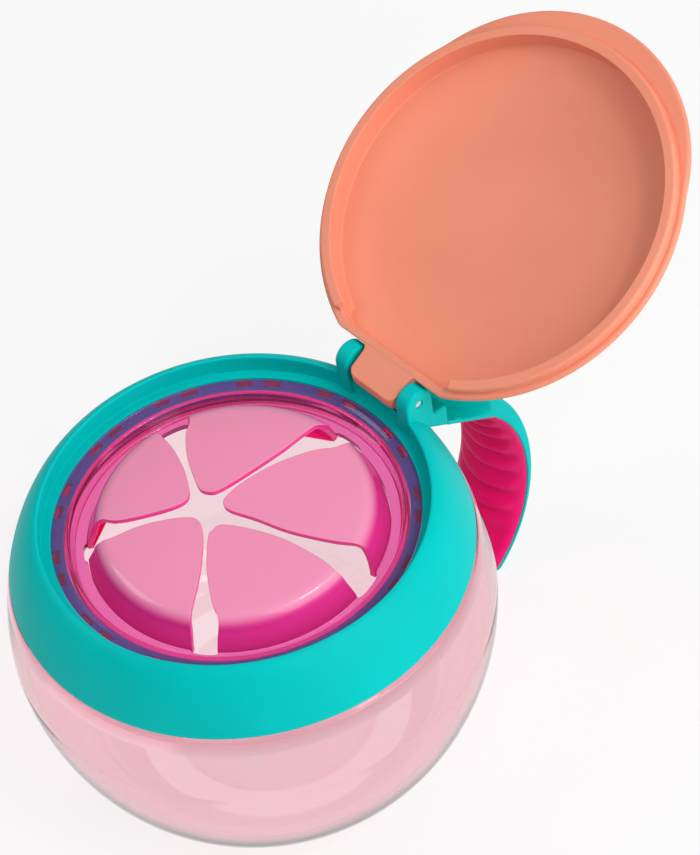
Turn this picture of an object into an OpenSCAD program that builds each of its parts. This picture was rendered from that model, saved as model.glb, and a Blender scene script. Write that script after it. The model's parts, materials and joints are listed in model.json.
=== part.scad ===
/* [Bowl] */
// Outside diameter at the belly
belly_d = 90; // [86:1:96]
// Height of the belly's widest line
belly_z = 33.5; // [30:0.5:36]
// Diameter of the flat base
base_d = 54; // [46:1:60]
// Fullness below the belly, where 2 is an ellipse
low_full = 1.76; // [1.6:0.02:2.2]
// Thickness of the bowl's wall and floor
bowl_t = 1.8; // [1.2:0.1:2.2]
// Thickness of the neck that stands inside the collar
neck_t = 1.8; // [1.4:0.1:2.2]
// How far the neck's rim lies below the lip's crest
rim_drop = 5.0; // [4.8:0.1:5.6]
// How far the locking lugs stand out from the neck
lug_h = 1.0; // [0.7:0.1:1.2]
// Height of the locking lugs' underside
lug_z = 50.9; // [50.6:0.1:51.6]
// Thickness of a locking lug, and of the ridge that holds it
lug_t = 1.2; // [0.9:0.1:1.4]
// Angle that a locking lug covers
lug_a = 24; // [16:1:30]

/* [Collar] */
// Diameter of the lip's crest
lip_d = 70.6; // [70:0.1:72]
// Height of the lip's crest
lip_z = 60.9; // [60:0.1:62]
// Height of the collar's lower edge
collar_z = 48.5; // [47.5:0.1:49]
// Fullness above the belly, where 2 is an ellipse
high_full = 1.6; // [1.5:0.02:1.9]
// Rounding of the lip's inner edge
lip_round = 0.25; // [0.2:0.05:0.6]
// How far the shelf inside the lip lies below its crest
shelf_drop = 3.7; // [3.4:0.1:4]
// Diameter of the mouth at the ledge
mouth_d = 66.6; // [66:0.1:67]
// Thickness of the wall between the mouth and the neck
mouth_t = 1.6; // [1.2:0.1:1.8]
// How far the ledge's top lies below the lip's crest
ledge_drop = 4.8; // [4.6:0.1:5.4]
// Thickness of the ledge
ledge_t = 1.3; // [1:0.1:1.6]
// Diameter of the ledge's hole
ledge_d = 62.2; // [61.4:0.1:62.6]
// Number of window pairs in the ledge
window_pairs = 13; // [9:1:15]
// Length of a window along the ledge
window_l = 3.0; // [2:0.1:3.4]
// Width of a window across the ledge
window_w = 1.0; // [0.7:0.1:1.1]
// Diameter of the circle that the windows stand on
window_d = 65.2; // [64.8:0.1:65.2]
// Angle between the two windows of a pair
window_a = 9.3; // [8:0.1:11]

/* [Hinge] */
// Distance of the pin behind the bowl's centre
pin_y = 36.8; // [36.4:0.1:37.4]
// Height of the pin
pin_z = 63.5; // [63.2:0.1:64.2]
// Diameter of the pin
pin_d = 1.6; // [1.2:0.1:2.2]
// How far the pin's ends lie inside the ears
pin_inset = 0.15; // [0.1:0.05:0.5]
// Width over both ears
ears_w = 19.2; // [18.4:0.1:20]
// Width between the ears
ears_gap = 12.9; // [12:0.1:13.6]
// Diameter of an ear's round top
ear_d = 6.2; // [5.6:0.1:6.4]
// Diameter of the lid's knuckle
knuckle_d = 6.6; // [6:0.1:6.8]
// How far the stop heel stands out from the knuckle
heel_h = 0.9; // [0.7:0.1:1.1]
// Angle from closed to the open stop
lid_open = 150; // [140:1:160]

/* [Lid] */
// Diameter of the lid's flange
flange_d = 72.2; // [71:0.2:73]
// Thickness of the flange
flange_t = 1.4; // [1.1:0.1:1.8]
// How far the thumb brim reaches past the flange
brim_l = 3.1; // [2:0.1:4]
// Diameter of the brim's own circle
brim_d = 66.4; // [64:0.2:70]
// Height of the lid above the flange's lower face
lid_h = 8.8; // [8:0.1:10]
// Thickness of the lid's dome
lid_t = 1.5; // [1.1:0.1:2]
// Depth of the sealing ring below the flange
seal_h = 1.6; // [1:0.1:1.9]
// Inside diameter of the sealing ring and the dish
dish_d = 65.4; // [65:0.1:66]
// Thickness of the sealing ring
seal_t = 2.05; // [1.5:0.05:2.1]
// Height of the dish's upright wall above the flange's lower face
dish_h = 3.0; // [2:0.1:3.4]
// Diameter of the crease between the dish's slope and its crown
crease_d = 42; // [36:1:48]
// How far the crown's crease lies below its middle
crown_h = 1.2; // [0.8:0.1:1.6]
// Distance from the pin to the lid's straight back edge
back_gap = 3.45; // [3.4:0.05:3.8]

/* [Flaps] */
// Thickness of the flexible membrane
flap_t = 1.1; // [0.8:0.1:1.3]
// Thickness of the rim on the ledge
rim_t = 0.9; // [0.7:0.1:1.2]
// Height of the step between the rim and the top of the trough
step_h = 0.4; // [0.2:0.1:0.5]
// Depth of the trough between rim and flaps below the ledge's top
trough_h = 3.4; // [3:0.1:3.6]
// Diameter of the dome at its foot
dome_d = 54.6; // [53.6:0.1:54.8]
// Height of the dome above the trough's floor
dome_h = 8.6; // [8:0.1:9]
// How far the crown rises above the dome's shoulder
dome_crown = 1.2; // [0.6:0.1:1.6]
// Radius of the dome's shoulder
shoulder = 3.2; // [2.4:0.1:3.6]
// How far the dome's wall leans in
dome_lean = 1.6; // [1:0.1:2]
// Where the slits meet, across
star_x = -2.6; // [-3:0.1:0]
// Where the slits meet, front to back
star_y = -4.4; // [-4.6:0.1:0]
// Diameter of the hole where the slits meet
star_d = 8; // [6:0.5:10]
// Width of a slit half-way out
slit_w = 1.4; // [1.2:0.1:1.8]
// Width of a slit at the dome's foot
slit_end_w = 4.6; // [4:0.1:5]

/* [Handle] */
// Width of the handle
handle_w = 18.6; // [17:0.1:18.8]
// Furthest reach of the handle behind the bowl's centre
handle_y = 62.5; // [61:0.1:66]
// Height of the handle's curve from its middle to its top
handle_rise = 30.3; // [30:0.1:30.6]
// Height of the middle of the handle's curve
handle_z = 27.5; // [27:0.1:28]
// Thickness of the frame at the back of the handle
spine_t = 1.2; // [1:0.1:2]
// Thickness of the frame at the top of the handle
arm_t = 6.1; // [5:0.1:6.4]
// Thickness of the grip at the back of the handle
grip_t = 3.1; // [2.6:0.1:4.4]
// How far the grip's sides lie inside the frame's
grip_inset = 0.6; // [0.2:0.1:1]
// Number of finger ribs
ribs = 12; // [9:1:13]
// Height of a finger rib
rib_h = 1.0; // [0.4:0.1:1.2]
// Height of the handle's lower end
tip_z = 1.6; // [1:0.1:4]
// Length of the arm's full-width root behind the pin
root_l = 6.4; // [5:0.1:7]
// Depth of the scoop in each side of the arm
scoop_h = 2.4; // [1:0.1:3]
// Length of the scoop
scoop_l = 8.5; // [6:0.1:9]

/* [Hidden] */
$fn = 96;

// Clearances: between bodies, where one body seats on another, and inside one body
clear = 0.3;
seat = 0.1;
snug = 0.05;
// Running clearance of the lid on its pin, and of the pin in the ears
pin_run = 0.06;
pin_fit = 0.01;
// How far a cut passes the face it opens, and how far a joined shape reaches in
cut = 1;
bite = 0.4;
// Chamfer and step that round small edges
ease = 0.6;
// Points on a half of the outline, on each of the handle's curves, and on the grip's part of them
steps = 14;
handle_steps = 72;
grip_steps = 62;
grip_across = 12;

belly_r = belly_d / 2;
base_r = base_d / 2;
lip_r = lip_d / 2;
rim_z = lip_z - rim_drop;
shelf_z = lip_z - shelf_drop;
ledge_z = lip_z - ledge_drop;
mouth_r = mouth_d / 2;
ledge_r = ledge_d / 2;
wall_r = mouth_r + mouth_t;
neck_in_r = wall_r + clear;
neck_r = neck_in_r + neck_t;
bore_r = neck_r + lug_h + clear;
seam_z = collar_z - clear;
lock_top = lug_z + lug_t + clear;
lug_count = 3;
lug_first = 30;
stop_a = 3;

ear_r = ear_d / 2;
knuckle_r = knuckle_d / 2;
ear_w = (ears_w - ears_gap) / 2;
knuckle_w = ears_gap - 2 * clear;
lid_z = lip_z + clear;
back_y = pin_y - back_gap;
dish_r = dish_d / 2;
dish_back = back_y - lid_t;
seal_end = 1;
seal_back = dish_back - seal_end;
crown_z = lid_z + lid_h - lid_t;
crease_z = crown_z - crown_h;
slope_full = 0.5;
dish_z = lid_z + dish_h;
// The stop heel's own angle, and the angles that its notch in the collar covers
heel_a = 24;
notch_a = 72;
notch_slack = 0.3;

trough_z = ledge_z - trough_h;
dome_r = dome_d / 2;
crown_top = trough_z + dome_h;
shoulder_top = crown_top - dome_crown;
shoulder_r = dome_r - dome_lean - shoulder;
shoulder_z = shoulder_top - shoulder;
flap_count = 5;
slit_step = 360 / flap_count;
first_slit = 90;
rim_top = ledge_z + rim_t;
rim_in = ledge_r - 3 * snug;
trough_in = dome_r + clear + snug;
rim_out = mouth_r - 3 * snug;
// Thickness and lean of the wall between rim and trough, and length of the step above it
wall_t = 0.8;
wall_lean = 0.75;
step_l = 0.8;
hold_in = window_d / 2 - window_w / 2 - bite;

// The handle's three curves are ellipses about one line behind the bowl
handle_mid = pin_y + 3.8;
curve_drop = 2.5;
grip_end = 1.7;
outer_a = handle_y - handle_mid;
middle_a = outer_a - spine_t;
inner_a = middle_a - grip_t;
middle_b = handle_rise - arm_t + curve_drop;
inner_b = middle_b - grip_end;
middle_z = handle_z - curve_drop;
root_y = pin_y + root_l;
// Where the curves start at the collar, as an angle up from the back
root_a = 97;
// Where the arm's underside starts in the collar, and how far along it is straight
arm_foot = [pin_y + 1.7, ledge_z - 0.8];
arm_straight = 16;
scoop_lip = 1.5;
grip_w = handle_w - 2 * grip_inset;

// Outline: the skin of bowl and collar in one curve
function power(v, n) = pow(max(v, 0), 2 / n);
function skin_u(z) = asin(min(1, pow((z - belly_z) / (lip_z - belly_z), high_full / 2)));
function skin_r(z) = lip_r + (belly_r - lip_r) * power(cos(skin_u(z)), high_full);
function skin_z(u) = belly_z + (lip_z - belly_z) * power(sin(u), high_full);
function skin(z0, z1, n) = [
    for (i = [0:n])
        let (z = skin_z(skin_u(z0) + (skin_u(z1) - skin_u(z0)) * i / n))
        [skin_r(z), z]
];
function underside(r0, r1, z0, n) = [
    for (i = [0:n])
        let (u = 90 * i / n)
        [r0 + (r1 - r0) * power(sin(u), low_full), z0 + (belly_z - z0) * (1 - power(cos(u), low_full))]
];
function reversed(list) = [for (i = [len(list) - 1:-1:0]) list[i]];
function arc(c, r, a0, a1, n) = [
    for (i = [0:n])
        let (a = a0 + (a1 - a0) * i / n)
        c + r * [cos(a), sin(a)]
];

// A block of one revolution, between two radii and two heights, turned to an angle
module sector(r0, r1, z0, z1, mid, wide) {
    rotate([0, 0, mid - wide / 2])
        rotate_extrude(angle = wide)
            translate([r0, z0]) square([r1 - r0, z1 - z0]);
}

module at_windows() {
    for (i = [0:window_pairs - 1])
        for (side = [-1, 1])
            rotate([0, 0, 270 + i * 360 / window_pairs + side * window_a / 2])
                translate([window_d / 2, 0, 0]) children();
}

// A profile drawn in y and z, carried along x and centred
module along_x(w) {
    rotate([90, 0, 90]) linear_extrude(w, center = true) children();
}

// Inside, a short cone joins the body's wall to the neck
module bowl() {
    shoulder_in = neck_r - neck_t;
    inner_z = seam_z - bowl_t - neck_t - ease;
    color("mistyrose", 0.5) {
        rotate_extrude()
            polygon(concat(
                [[0, 0]],
                underside(base_r, belly_r, 0, steps),
                skin(belly_z, seam_z, steps),
                [[neck_r, seam_z], [neck_r, rim_z], [shoulder_in, rim_z], [shoulder_in, seam_z - bowl_t]],
                reversed([for (p = skin(belly_z, inner_z, steps)) [p.x - bowl_t, p.y]]),
                reversed(underside(base_r - bowl_t / 2, belly_r - bowl_t, bowl_t, steps)),
                [[0, bowl_t]]
            ));
        for (i = [0:lug_count - 1]) {
            mid = lug_first + i * 360 / lug_count;
            sector(neck_r - bite, neck_r + lug_h, lug_z, lug_z + lug_t, mid, lug_a);
        }
    }
}

module collar_ring() {
    rotate_extrude()
        polygon(concat(
            skin(collar_z, lip_z, steps),
            arc([lip_r, lip_z - lip_round], lip_round, 100, 180, 5),
            [[lip_r - lip_round, shelf_z], [mouth_r, shelf_z], [mouth_r, ledge_z], [ledge_r, ledge_z]],
            [[ledge_r, ledge_z - ledge_t], [wall_r, ledge_z - ledge_t]],
            [[wall_r, rim_z + seat], [neck_r + clear, rim_z + seat], [neck_r + clear, lock_top]],
            [[bore_r, lock_top], [bore_r, collar_z]]
        ));
}

// The ears stand in the solid ring over the neck, and reach further down behind it
module ears() {
    front_z = rim_z + clear;
    back_y = neck_r + 2 * clear;
    back_z = lock_top + cut;
    for (side = [-1, 1])
        translate([side * (ears_w - ear_w) / 2, 0, 0]) {
            along_x(ear_w)
                translate([pin_y, pin_z]) circle(ear_r);
            along_x(ear_w)
                translate([pin_y - ear_r, front_z]) square([ear_d, pin_z - front_z]);
            along_x(ear_w)
                translate([back_y, back_z]) square([pin_y + ear_r - back_y, pin_z - back_z]);
        }
}

function handle_curve(z, a, b, t0, t1, n) = [
    for (i = [0:n])
        let (t = t0 + (t1 - t0) * i / n)
        [handle_mid + a * cos(t), z + b * sin(t)]
];
function tip_angle(z, b) = asin((tip_z - z) / b);

// The middle curve, straight under the arm from its foot in the collar to where it meets the ellipse
under_end = let (y = arm_foot.x + arm_straight)
    [y, middle_z + middle_b * sqrt(1 - pow((y - handle_mid) / middle_a, 2))];
function under(p) = p.y < middle_z || p.x > under_end.x
    ? p
    : [p.x, arm_foot.y + (under_end.y - arm_foot.y) * (p.x - arm_foot.x) / arm_straight];
frame_low = tip_angle(middle_z, middle_b);
frame_line = [
    for (p = handle_curve(middle_z, middle_a, middle_b, frame_low, root_a, handle_steps)) under(p)
];

// The whole side of the handle frame, from its root in the collar to its lower end
module handle_side() {
    outer_low = tip_angle(handle_z, handle_rise);
    polygon(concat(
        handle_curve(handle_z, outer_a, handle_rise, outer_low, root_a, handle_steps),
        reversed(frame_line)
    ));
}

// The scooped side of the arm leaves a lip along its lower edge
module scoop(side) {
    intersection() {
        along_x(ears_w)
            translate([0, scoop_lip]) handle_side();
        translate([0, 0, middle_z])
            linear_extrude(handle_rise + cut)
                polygon([
                    [side * (handle_w / 2 - scoop_h), root_y],
                    [side * (handle_w / 2 + cut), root_y],
                    [side * (handle_w / 2 + cut), root_y + scoop_l],
                    [side * handle_w / 2, root_y + scoop_l]
                ]);
    }
}

module handle_frame() {
    difference() {
        along_x(handle_w) handle_side();
        for (side = [-1, 1]) scoop(side);
    }
}

module collar() {
    ridge_z = lug_z - seat - lug_t;
    ridge_r = neck_r + clear + snug;
    color("darkturquoise") {
        difference() {
            union() {
                collar_ring();
                ears();
                handle_frame();
            }
            translate([0, 0, ledge_z - ledge_t - cut])
                at_windows()
                    translate([-window_w / 2 - snug, -window_l / 2 - snug, 0])
                        cube([window_w + 2 * snug, window_l + 2 * snug, ledge_t + 2 * cut]);
            along_x(ears_gap)
                translate([pin_y, pin_z]) circle(knuckle_r + clear);
            along_x(ears_gap)
                heel_outline(-90 - notch_slack, heel_h + clear, notch_a);
            along_x(ears_w + 2 * cut)
                translate([pin_y, pin_z]) circle(pin_d / 2 + pin_fit);
        }
        for (i = [0:lug_count - 1]) {
            mid = lug_first + i * 360 / lug_count;
            sector(ridge_r, bore_r + bite, ridge_z, ridge_z + lug_t, mid, lug_a);
            stop_at = mid + lug_a / 2 + clear + stop_a / 2;
            sector(ridge_r, bore_r + bite, ridge_z, lock_top + bite, stop_at, stop_a);
        }
    }
}

// A round slice from the pin outward, which starts at one angle and goes on anticlockwise
module heel_outline(start, high, wide) {
    n = 8;
    translate([pin_y, pin_z])
        polygon(concat([[0, 0]], arc([0, 0], knuckle_r + high, start, start + wide, n)));
}

// The grip's section is crowned, and its ribs run across it
function rib(t) = rib_h * pow(max(0, sin(ribs * 180 * t)), 2);
function crown(s) = pow(1 - pow(abs(s), 1.5), 1 / 1.5);
grip_low = tip_angle(middle_z, inner_b);
grip_top = frame_low + (root_a - frame_low) * grip_steps / handle_steps;
grip_in = handle_curve(middle_z, inner_a, inner_b, grip_low, grip_top, grip_steps);
function grip_ring(i) = let (
        o = frame_line[i],
        d = grip_in[i] - o,
        high = norm(d) + rib(i / grip_steps),
        n = d / norm(d)
    )
    concat(
        [for (j = [0:grip_across])
            let (s = cos(180 * j / grip_across), p = o + n * max(high * crown(s), bite))
            [s * grip_w / 2, p.x, p.y]],
        [[-grip_w / 2, o.x, o.y], [grip_w / 2, o.x, o.y]]
    );

module handle_grip() {
    per = grip_across + 3;
    rings = [for (i = [0:grip_steps]) each grip_ring(i)];
    color("deeppink")
        polyhedron(
            rings,
            concat(
                [[for (j = [0:per - 1]) j]],
                [for (i = [0:grip_steps - 1]) for (j = [0:per - 1])
                    let (a = i * per + j, b = i * per + (j + 1) % per)
                    each [[b, a, a + per], [b, a + per, b + per]]],
                [[for (j = [per - 1:-1:0]) grip_steps * per + j]]
            )
        );
}

module hinge_pin() {
    color("silver")
        translate([0, pin_y, pin_z])
            rotate([0, 90, 0]) cylinder(d = pin_d, h = ears_w - 2 * pin_inset, center = true);
}

// Keeps what lies in front of a line across the lid
module in_front_of(y) {
    intersection() {
        children();
        translate([-flange_d, y - 2 * flange_d, 0]) cube([2 * flange_d, 2 * flange_d, 2 * lip_z]);
    }
}

module flange_outline() {
    intersection() {
        union() {
            circle(d = flange_d);
            translate([0, brim_d / 2 - flange_d / 2 - brim_l]) circle(d = brim_d);
        }
        translate([-flange_d, back_y - 2 * flange_d]) square(2 * flange_d);
    }
}

// The dish's roof, slightly full on its slope, and the lid's outside one wall above it
function dish_roof(up, wide) = [
    [0, crown_z + up],
    [crease_d / 4 + wide / 2, crown_z - crown_h / 3 + up],
    [crease_d / 2 + wide / 2, crease_z + up],
    [crease_d / 4 + dish_r / 2 + wide / 2, (crease_z + dish_z) / 2 + slope_full + up],
    [dish_r + wide, dish_z + up],
];

module lid_shape() {
    seal_r = dish_r + seal_t;
    below_z = lid_z - seal_h - cut;
    difference() {
        union() {
            translate([0, 0, lid_z]) linear_extrude(flange_t) flange_outline();
            in_front_of(back_y)
                rotate_extrude()
                    polygon(concat([[0, lid_z]], dish_roof(lid_t, lid_t), [[dish_r + lid_t, lid_z]]));
            in_front_of(seal_back)
                rotate_extrude()
                    polygon([
                        [dish_r - bite, lid_z - seal_h], [seal_r - ease, lid_z - seal_h],
                        [seal_r, lid_z - seal_h + ease],
                        [seal_r, lid_z + bite], [dish_r - bite, lid_z + bite]
                    ]);
            along_x(knuckle_w) {
                translate([pin_y, pin_z]) circle(knuckle_r);
                translate([back_y - bite, lid_z]) square([back_gap + bite, pin_z + flange_t / 2 - lid_z]);
            }
            along_x(knuckle_w) heel_outline(lid_open - 90, heel_h, heel_a);
        }
        in_front_of(dish_back)
            rotate_extrude()
                polygon(concat([[0, below_z]], dish_roof(0, 0), [[dish_r, below_z]]));
        along_x(ears_w)
            translate([pin_y, pin_z]) circle(pin_d / 2 + pin_run);
    }
}

module lid() {
    color("lightsalmon")
        translate([0, pin_y, pin_z])
            rotate([-lid_open, 0, 0])
                translate([0, -pin_y, -pin_z]) lid_shape();
}

module flap_ring() {
    hold_top = ledge_z - ledge_t - snug;
    step_r = window_d / 2 - window_w / 2;
    step_top = rim_top - step_h;
    wall_top = rim_in - wall_t;
    foot_r = wall_top - wall_lean;
    color("hotpink", 0.6) {
        rotate_extrude()
            polygon([
                [trough_in, trough_z], [foot_r + flap_t, trough_z], [rim_in, hold_top],
                [rim_in, ledge_z + snug], [rim_out, ledge_z + snug], [rim_out, rim_top],
                [step_r, rim_top], [step_r - step_l, step_top],
                [wall_top + ease, step_top], [wall_top, step_top - ease],
                [foot_r, trough_z + flap_t], [trough_in, trough_z + flap_t]
            ]);
        rotate_extrude()
            translate([hold_in, trough_z]) square([rim_out - hold_in, hold_top - trough_z]);
        at_windows()
            translate([-window_w / 2, -window_l / 2, hold_top - snug])
                cube([window_w, window_l, ledge_t + 4 * snug]);
    }
}

// The dome's line, taken in by the membrane's thickness for its inside
function dome_line(in) = concat(
    [[dome_r - in, trough_z], [dome_r - in, trough_z + flap_t]],
    arc([shoulder_r, shoulder_z], shoulder - in, 8, 84, 6),
    [for (k = [0.75, 0.5, 0.25, 0]) [shoulder_r * k, crown_top - in - dome_crown * k * k]]
);

function star() = [star_x, star_y];
function slit_end(i) = dome_r * [cos(first_slit + i * slit_step), sin(first_slit + i * slit_step)];

// A slit is narrow to the shoulder, opens over it, and leaves the dome at its full width
module slit(i) {
    v = slit_end(i) - star();
    narrow = 0.62 * norm(v);
    wide = 0.84 * norm(v);
    past = 1.2 * norm(v);
    w = slit_w / 2;
    e = slit_end_w / 2;
    translate(star())
        rotate([0, 0, atan2(v.y, v.x)])
            polygon([
                [0, -w], [narrow, -w], [wide, -e], [past, -e],
                [past, e], [wide, e], [narrow, w], [0, w]
            ]);
}

function past_end(i) = star() + 1.6 * (slit_end(i) - star());

module flap_petal(i) {
    color("hotpink", 0.6)
        intersection() {
            rotate_extrude()
                polygon(concat(dome_line(0), reversed(dome_line(flap_t))));
            translate([0, 0, trough_z - cut])
                linear_extrude(dome_h + 2 * cut)
                    difference() {
                        polygon([
                            star(), past_end(i), past_end(i) + past_end(i + 1) - star(), past_end(i + 1)
                        ]);
                        slit(i);
                        slit(i + 1);
                        translate(star()) circle(d = star_d);
                    }
        }
}

bowl();
collar();
handle_grip();
hinge_pin();
lid();
flap_ring();
flap_petal(0);  // flap_petal_1
flap_petal(1);  // flap_petal_2
flap_petal(2);  // flap_petal_3
flap_petal(3);  // flap_petal_4
flap_petal(4);  // flap_petal_5
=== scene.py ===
import json
import bmesh
import bpy
import numpy as np
from mathutils import Matrix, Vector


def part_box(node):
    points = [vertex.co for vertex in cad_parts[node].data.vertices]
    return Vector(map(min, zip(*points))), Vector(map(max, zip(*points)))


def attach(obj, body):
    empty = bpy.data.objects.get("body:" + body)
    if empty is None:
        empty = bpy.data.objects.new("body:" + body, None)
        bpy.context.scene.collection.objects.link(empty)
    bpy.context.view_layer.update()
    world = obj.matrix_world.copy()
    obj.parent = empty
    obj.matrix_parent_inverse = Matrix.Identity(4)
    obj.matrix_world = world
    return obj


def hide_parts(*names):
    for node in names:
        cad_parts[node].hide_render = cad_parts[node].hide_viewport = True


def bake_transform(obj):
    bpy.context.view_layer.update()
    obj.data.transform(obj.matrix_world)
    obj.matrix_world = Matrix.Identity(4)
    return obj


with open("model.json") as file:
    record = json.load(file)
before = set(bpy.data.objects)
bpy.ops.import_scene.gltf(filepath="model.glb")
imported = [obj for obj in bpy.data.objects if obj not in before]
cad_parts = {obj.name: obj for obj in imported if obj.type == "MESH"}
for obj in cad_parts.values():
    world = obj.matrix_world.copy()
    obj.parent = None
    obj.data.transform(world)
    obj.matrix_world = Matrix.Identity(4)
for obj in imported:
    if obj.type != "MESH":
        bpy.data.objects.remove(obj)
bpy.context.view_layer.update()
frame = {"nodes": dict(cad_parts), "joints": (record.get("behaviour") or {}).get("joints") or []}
print("frame loaded:", len(frame["nodes"]), "nodes")

mm = 0.001  # everything below is worked out in millimetres


def boxOf(node):
    # a CAD node's lowest and highest corner, in millimetres
    low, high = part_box(node)
    return np.array(low) / mm, np.array(high) / mm


bowlHigh = boxOf("bowl")[1]
pinLow, pinHigh = boxOf("hinge_pin")
hinge = [j for j in frame["joints"] if j["name"] == "lid_hinge"][0]
pinY, pinZ = hinge["pos_m"][1] / mm, hinge["pos_m"][2] / mm

# Camera: where it stands round the cup, as fitted to the photograph
shot = {"azimuth": 54.09, "elevation": 48.37, "roll": -9.08, "distance": 516.74,
        "aimRight": 19.53, "aimUp": 20.62, "aimHeight": 50.0, "lens": 121.36, "sensor": 36.0,
        "near": 0.01, "far": 20.0}


def standCamera(s):
    # the view's three directions from its angles, then a place on the line through the aim point
    az, el, roll = np.radians([s["azimuth"], s["elevation"], s["roll"]])
    back = np.array([np.sin(az) * np.cos(el), -np.cos(az) * np.cos(el), np.sin(el)])
    side = np.array([np.cos(az), np.sin(az), 0.0])
    over = np.cross(back, side)
    right = np.cos(roll) * side + np.sin(roll) * over
    up = -np.sin(roll) * side + np.cos(roll) * over
    aim = np.array([0.0, 0.0, s["aimHeight"]]) + right * s["aimRight"] + up * s["aimUp"]
    place = (aim + back * s["distance"]) * mm
    data = bpy.data.cameras.new("photoCamera")
    data.sensor_fit, data.sensor_width, data.sensor_height = "AUTO", s["sensor"], s["sensor"]
    data.lens = s["lens"]
    data.clip_start, data.clip_end = s["near"], s["far"]
    camera = bpy.data.objects.new("photoCamera", data)
    turn = np.eye(4)
    turn[:3, :3] = np.stack([right, up, back], 1)
    turn[:3, 3] = place
    camera.matrix_world = Matrix(turn.tolist())
    bpy.context.scene.collection.objects.link(camera)
    bpy.context.scene.camera = camera


standCamera(shot)
print("camera stands")


# Shapes

def arcCorners(points, radii, steps=6, closed=True):
    # each corner becomes an arc of its own radius that touches both of its sides, with a short run of
    # support beside it
    straight = np.pi / 2 - 0.01  # half an angle past which a corner is left alone
    shareOfSide = 0.48  # the most of a side that an arc may take up
    points = np.asarray(points, float)
    count = len(points)
    out = []
    for i in range(count):
        here, r = points[i], radii[i]
        if r <= 0 or (not closed and i in (0, count - 1)):
            out.append(here[None])
            continue
        before, after = points[i - 1] - here, points[(i + 1) % count] - here
        lengths = np.linalg.norm(before), np.linalg.norm(after)
        before, after = before / lengths[0], after / lengths[1]
        half = np.arccos(np.clip(before @ after, -1, 1)) / 2
        if half > straight:
            out.append(here[None])
            continue
        reach = min(r / np.tan(half), shareOfSide * min(lengths))
        r = reach * np.tan(half)
        middle = (before + after) / np.linalg.norm(before + after)
        centre = here + middle * r / np.sin(half)
        start, end = here + before * reach - centre, here + after * reach - centre
        turn = np.pi - 2 * half
        k = np.linspace(0, 1, steps + 1)[:, None]
        arc = centre + (np.sin((1 - k) * turn) * start + np.sin(k * turn) * end) / np.sin(turn)
        ease = min(0.25 * r, 0.3 * reach)  # the support's length
        out.append(np.concatenate([arc[:1] + before * ease, arc, arc[-1:] + after * ease]))
    return np.concatenate(out)


def fillRuns(points, longest, closed=True):
    # long straight runs get points in even steps
    ends = np.roll(points, -1, 0) if closed else points[1:]
    out = []
    for a, b in zip(points, ends):
        n = max(1, int(np.ceil(np.linalg.norm(b - a) / longest)))
        out.append(a + (b - a) * (np.arange(n) / n)[:, None])
    if not closed:
        out.append(points[-1:])
    return np.concatenate(out)


def makeMesh(name, points, quads, triangles=None, smooth=50):
    # points in millimetres, faces as arrays of corner numbers, written in whole arrays
    triangles = np.zeros((0, 3), int) if triangles is None else triangles
    mesh = bpy.data.meshes.new(name)
    mesh.vertices.add(len(points))
    mesh.vertices.foreach_set("co", (np.asarray(points) * mm).astype(np.float32).ravel())
    corners = np.concatenate([quads.ravel(), triangles.ravel()]).astype(np.int32)
    mesh.loops.add(len(corners))
    mesh.loops.foreach_set("vertex_index", corners)
    starts = np.concatenate([np.arange(len(quads)) * 4, len(quads) * 4 + np.arange(len(triangles)) * 3])
    mesh.polygons.add(len(starts))
    mesh.polygons.foreach_set("loop_start", starts.astype(np.int32))
    mesh.update(calc_edges=True)
    mesh.validate()
    mesh.shade_smooth()
    if smooth:
        mesh.set_sharp_from_angle(angle=np.radians(smooth))
    piece = bpy.data.objects.new(name, mesh)
    bpy.context.scene.collection.objects.link(piece)
    return piece


def gridFaces(rows, columns, wrapRows):
    # the quads of a grid of points, row after row, each row closed
    r = np.arange(rows if wrapRows else rows - 1)[:, None]
    c = np.arange(columns)[None]
    a = r * columns + c
    b = r * columns + (c + 1) % columns
    up = ((r + 1) % rows) * columns
    return np.stack([a, b, up + (c + 1) % columns, up + c], -1).reshape(-1, 4)


def gridPiece(name, grid, wrapRows=False, caps=(False, False), smooth=50):
    # a surface from a grid of points, closed round its columns. A capped first or last row gets a fan to
    # its own middle. The faces are turned outwards by the sign of the volume that they enclose.
    rows, columns = grid.shape[:2]
    points = grid.reshape(-1, 3)
    quads = gridFaces(rows, columns, wrapRows)
    fans = []
    for which, cap in enumerate(caps):
        if not cap:
            continue
        row = (rows - 1) * which * columns + np.arange(columns)
        middle = len(points)
        points = np.concatenate([points, points[row].mean(0)[None]])
        a, b = row, np.roll(row, -1)
        centre = np.full(columns, middle)
        fans.append(np.stack([b, a, centre] if which == 0 else [a, b, centre], -1))
    fans = np.concatenate(fans) if fans else np.zeros((0, 3), int)
    corners = np.concatenate([quads[:, [0, 1, 2]], quads[:, [0, 2, 3]], fans])
    p, q, r = (points[corners[:, i]] for i in range(3))
    if np.einsum("ij,ij->i", p, np.cross(q, r)).sum() < 0:
        quads, fans = quads[:, ::-1], fans[:, ::-1]
    return makeMesh(name, points, quads, fans, smooth)


def turned(profile, angles):
    # a profile of radius and height carried round the upright axis: x = r cos a, y = r sin a
    r, z = profile.T
    return together(np.cos(angles)[:, None] * r, np.sin(angles)[:, None] * r, z)


def together(*values):
    # radius and height, or x, y and z, as the last axis of one array of points
    return np.stack(np.broadcast_arrays(*values), -1)


def around(count):
    # even angles round a circle
    return np.arange(count) * 2 * np.pi / count


def joined(name, pieces):
    # several meshes in one object
    bpy.ops.object.select_all(action="DESELECT")
    for p in pieces:
        p.select_set(True)
    bpy.context.view_layer.objects.active = pieces[0]
    bpy.ops.object.join()
    pieces[0].name = pieces[0].data.name = name
    return pieces[0]


def smoothStep(low, high, v):
    # from 0 at low to 1 at high by 3k^2 - 2k^3
    k = np.clip((v - low) / (high - low), 0, 1)
    return k * k * (3 - 2 * k)


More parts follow.
